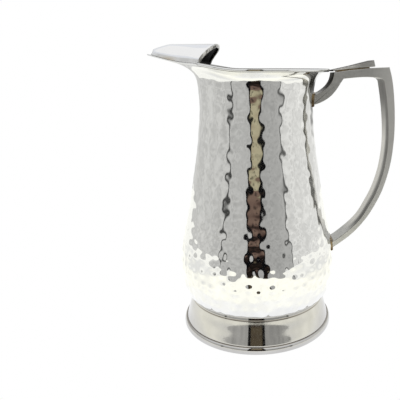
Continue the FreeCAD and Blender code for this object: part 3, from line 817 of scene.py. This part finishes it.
def cast_satin_shader(here):
    """Satin grey casting with linishing streaks, with painted highlights and painted shade on its
    edges and on the faces near the body.
    """
    x = here.node("ShaderNodeSeparateXYZ", {}, here)
    y, z = x.other("Y"), x.other("Z")
    normal = here.node("ShaderNodeSeparateXYZ", {}, here.other("Normal"))
    streaks = here.stretched(1.0, 0.25, 1.0).noise(520.0, 3.0)
    clouds = here.noise(85.0, 3.0)
    across = normal.other("Y")
    across = across.maths("ABSOLUTE", across)
    facing_in = (0.0 - normal).between(0.25, 0.7)
    grip = x.between(0.08, 0.09)
    # Painted shade: dark on the arm's and grip's faces turned to the body, and in a streak on the
    # grip's near side low down.
    arm_shade = facing_in * (1.0 - x.between(0.066, 0.072)) * z.between(0.19, 0.2)
    grip_top_shade = facing_in * grip * z.between(0.168, 0.206)
    near_edge = (0.0 - y).between(-0.001, 0.005)
    grip_shade_streak = facing_in * grip * near_edge * z.between(0.06, 0.10)
    # Painted highlight: the grip's inner face is lighter, away from its near side.
    grip_highlight = facing_in * grip * (1.0 - near_edge) * (1.0 - z.between(0.17, 0.20))
    # Painted shade: dark lines on the eased edges of the lower grip.
    low_edge_shade = across.within(0.12, 0.3, 0.80, 0.95) * x.between(0.064, 0.072)
    low_edge_shade = low_edge_shade * (1.0 - z.between(0.13, 0.17))
    over_bar = z - (x - REST_FRONT) * BAR_SLOPE
    upward = normal.other("Z").between(0.2, 0.45)
    # Painted shade: dark where the thumb rest meets the bar.
    rest_joint_shade = upward * over_bar.between(BAR_FRONT, BAR_FRONT + 0.0008)
    painted_shade = arm_shade.maths("MAXIMUM", arm_shade, grip_top_shade * 0.75)
    painted_shade = painted_shade.maths("MAXIMUM", painted_shade, grip_shade_streak * 0.75)
    painted_shade = painted_shade.maths("MAXIMUM", painted_shade, low_edge_shade * 0.85)
    painted_shade = painted_shade.maths("MAXIMUM", painted_shade, rest_joint_shade * 0.8)
    metal = (0.5 * clouds + 0.5 * streaks).between(0.3, 0.7).blend(
        (0.44, 0.435, 0.41), (0.55, 0.545, 0.52)
    )
    metal = (x.between(0.095, 0.112) * 0.8).blend(metal, (0.72, 0.71, 0.67))
    metal = (grip_highlight * 0.8).blend(metal, (0.78, 0.76, 0.70))
    # Painted highlight: the thumb rest's undercut front faces are coloured nearly white.
    rest_highlight = over_bar.between(BAR_FRONT, BAR_FRONT + 0.0002) * (1.0 - x.between(0.080, 0.088))
    metal = (rest_highlight * across.between(0.3, 0.5)).blend(metal, (0.96, 0.95, 0.92))
    # The painted shade is mixed in as a dark diffuse surface.
    shade_share = painted_shade * (0.75 + 0.35 * clouds)
    bare_satin = here.node(
        "ShaderNodeBsdfPrincipled", {}, Metallic=1.0,
        Base_Color=metal,
        Roughness=0.24 + 0.14 * streaks,
        Normal=here.node("ShaderNodeBump", {}, Strength=0.10, Distance=0.0006, Height=streaks),
    )
    painted_dark = here.node("ShaderNodeBsdfDiffuse", {}, Color=(0.035, 0.033, 0.029, 1.0))
    return shade_share.node("ShaderNodeMixShader", {}, shade_share, bare_satin, painted_dark)


cast_satin = new_material("cast_satin", cast_satin_shader)

handle_mesh = cut_out(
    HANDLE_EDGES, HANDLE_WIDTH_TOP, HANDLE_SPACING, HANDLE_EASING, HANDLE_SLICES
)
for vert in handle_mesh.verts:
    share = min(1.0, (vert.co.z - TAPER_START) / (TAPER_END - TAPER_START))
    width = HANDLE_WIDTH_BOTTOM + (HANDLE_WIDTH_TOP - HANDLE_WIDTH_BOTTOM) * share
    vert.co.y *= width / HANDLE_WIDTH_TOP
    near_body = vert.co.x < (ARM_BURIED if vert.co.z > HANDLE_MIDDLE else GRIP_BURIED)
    buried = body_radius(vert.co.z) - BODY_WALL / 2 if near_body else 0.0
    if math.hypot(vert.co.x, vert.co.y) < buried:
        vert.co.x = math.sqrt(buried**2 - vert.co.y**2)
bmesh.ops.dissolve_degenerate(handle_mesh, edges=handle_mesh.edges, dist=1e-6)
bmesh.ops.recalc_face_normals(handle_mesh, faces=handle_mesh.faces)
handle = place("cast_handle", handle_mesh, cast_satin)
handle.modifiers.new("flat_sides", "WEIGHTED_NORMAL")
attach(handle, "root")
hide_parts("handle")


# The thumb rest is a cast wedge brazed on top of the bar, wider at its raised rear end. Its long
# sides lean in under their upper edges towards the front, where a painted highlight makes them
# nearly white.
REST_EDGES = [
    [(62.9, 228.3), (77.3, 230.1), (88.2, 231.2), (98.8, 232.2)],
    [(98.8, 232.2), (97.4, 237.4)],
    [(97.4, 237.4), (94.9, 236.8), (89.6, 235.5), (79.8, 233.1), (70.0, 231.0), (62.9, 229.5)],
    [(62.9, 229.5), (62.9, 228.3)],
]
REST_WIDTH_FRONT, REST_WIDTH_REAR = 0.015, 0.022
REST_UNDER_FRONT, REST_UNDER_RISE = 0.2283, 0.0041
REST_THICK_FRONT, REST_THICK_GROWTH = 0.0012, 0.0042
REST_UNDERCUT = 0.0022
REST_UNDERCUT_END, REST_UNDERCUT_FADE = 0.088, 0.012
REST_SPACING = 0.0015
REST_EASING = 0.0005
REST_SLICES = 2

rest_mesh = cut_out(REST_EDGES, REST_WIDTH_REAR, REST_SPACING, REST_EASING, REST_SLICES)
for vert in rest_mesh.verts:
    share = (vert.co.x - REST_FRONT) / (REST_REAR - REST_FRONT)
    width = REST_WIDTH_FRONT + (REST_WIDTH_REAR - REST_WIDTH_FRONT) * share
    under = REST_UNDER_FRONT + REST_UNDER_RISE * share
    thickness = REST_THICK_FRONT + REST_THICK_GROWTH * share
    depth = min(1.0, max(0.0, 1 - (vert.co.z - under) / thickness))
    fade = min(1.0, max(0.0, (REST_UNDERCUT_END - vert.co.x) / REST_UNDERCUT_FADE))
    vert.co.y *= (width - 2 * REST_UNDERCUT * depth * fade) / REST_WIDTH_REAR
thumb_rest = place("thumb_wedge", rest_mesh, cast_satin)
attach(thumb_rest, "root")
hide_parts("thumb_rest")


# The foot is spun and polished: a collar brazed under the belly, a flared skirt, and a thick
# band that stands on the table. Brown tarnish from the brazing stays in its two seams.
COLLAR_OUTLINE = [
    (56.2, 27.2), (61.8, 27.2), (62.0, 27.4), (61.92, 28.0), (61.45, 29.75), (59.4, 29.15),
    (56.2, 29.05),
]
FLARE_OUTLINE = [(61.3, 27.2), (62.3, 22.5), (63.6, 17.5), (65.1, 12.0), (66.9, 6.0)]
FLARE_WALL = 0.0010
BAND_OUTLINE = [(67.7, 5.9), (68.6, 4.9), (69.2, 3.0), (69.2, 1.0), (68.6, 0.0)]
BAND_INSIDE = [(0.0652, 0.0), (0.0652, 0.0060), (0.0669, 0.0060)]
FOOT_STEPS = 256
FOOT_ROUNDING = 0.00015
FLARE_RINGS, BAND_RINGS = 22, 14
COLLAR_SEAM, BAND_SEAM = 0.0272, 0.0060


def foot_steel_shader(here):
    """Polished but softer than the body, with spinning rings and tarnish in the seams."""
    z = here.node("ShaderNodeSeparateXYZ", {}, here).other("Z")
    rings = here.stretched(0.02, 0.02, 1.0).noise(1400.0, 2.0)
    haze = here.noise(60.0, 3.0)
    over_collar, over_band = z - COLLAR_SEAM, z - BAND_SEAM
    upper = over_collar.within(-0.0014, -0.0004, 0.0004, 0.0010)
    lower = over_band.within(-0.0004, -0.0001, 0.0001, 0.0006)
    tarnish = (upper * 0.75 + lower * 0.6) * (0.6 + 0.6 * here.noise(120.0, 3.0))
    metal = haze.blend((0.52, 0.51, 0.485), (0.64, 0.63, 0.605))
    return here.node(
        "ShaderNodeBsdfPrincipled", {}, Metallic=1.0,
        Base_Color=tarnish.blend(metal, (0.12, 0.085, 0.045)),
        Roughness=0.03 + 0.04 * rings + 0.04 * haze,
        Normal=here.node("ShaderNodeBump", {}, Strength=0.003, Distance=0.001, Height=rings),
    )


foot_steel = new_material("foot_steel", foot_steel_shader)


def foot_ring(name, loop, node):
    """A ring of the foot, spun from a closed outline, in place of its CAD node."""
    mesh = bmesh.new()
    spin_round(mesh, loop, FOOT_STEPS, closed=True)
    bmesh.ops.recalc_face_normals(mesh, faces=mesh.faces)
    ring = place(name, mesh, foot_steel)
    rounding = ring.modifiers.new("rounding", "BEVEL")
    rounding.width = FOOT_ROUNDING
    rounding.segments = 2
    rounding.limit_method = "ANGLE"
    rounding.angle_limit = math.radians(35)
    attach(ring, "root")
    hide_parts(node)


foot_ring("collar", [Vector((r, 0.0, z)) * 0.001 for r, z in COLLAR_OUTLINE], "foot_collar")
flare_line = smooth_line(FLARE_OUTLINE, FLARE_RINGS)
flare_inside = [p - Vector((FLARE_WALL, 0.0, 0.0)) for p in reversed(flare_line)]
foot_ring("foot_skirt", flare_line + flare_inside, "foot_flare")
band_line = smooth_line(BAND_OUTLINE, BAND_RINGS)
band_inside = [Vector((r, 0.0, z)) for r, z in BAND_INSIDE]
foot_ring("base_band", band_line + band_inside, "foot_band")


# Brazing metal and welds: brassy where it is thick, brown with heat where it thins out.
# These are small beads left as they cooled, so they keep the shapes they have in the frame.
def braze_shader(here):
    """Brassy metal with brown heat stains."""
    stain = here.noise(260.0, 3.0)
    return here.node(
        "ShaderNodeBsdfPrincipled", {}, Metallic=1.0,
        Base_Color=stain.between(0.35, 0.65).blend((0.10, 0.065, 0.035), (0.42, 0.32, 0.18)),
        Roughness=0.3 + 0.2 * stain,
        Normal=here.node("ShaderNodeBump", {}, Strength=0.15, Distance=0.0005, Height=stain),
    )


braze = new_material("braze", braze_shader)
for name in ("ice_guard_braze", "handle_weld_upper", "handle_weld_lower", "thumb_rest_braze"):
    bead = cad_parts[name]
    bead.data.materials.clear()
    bead.data.materials.append(braze)
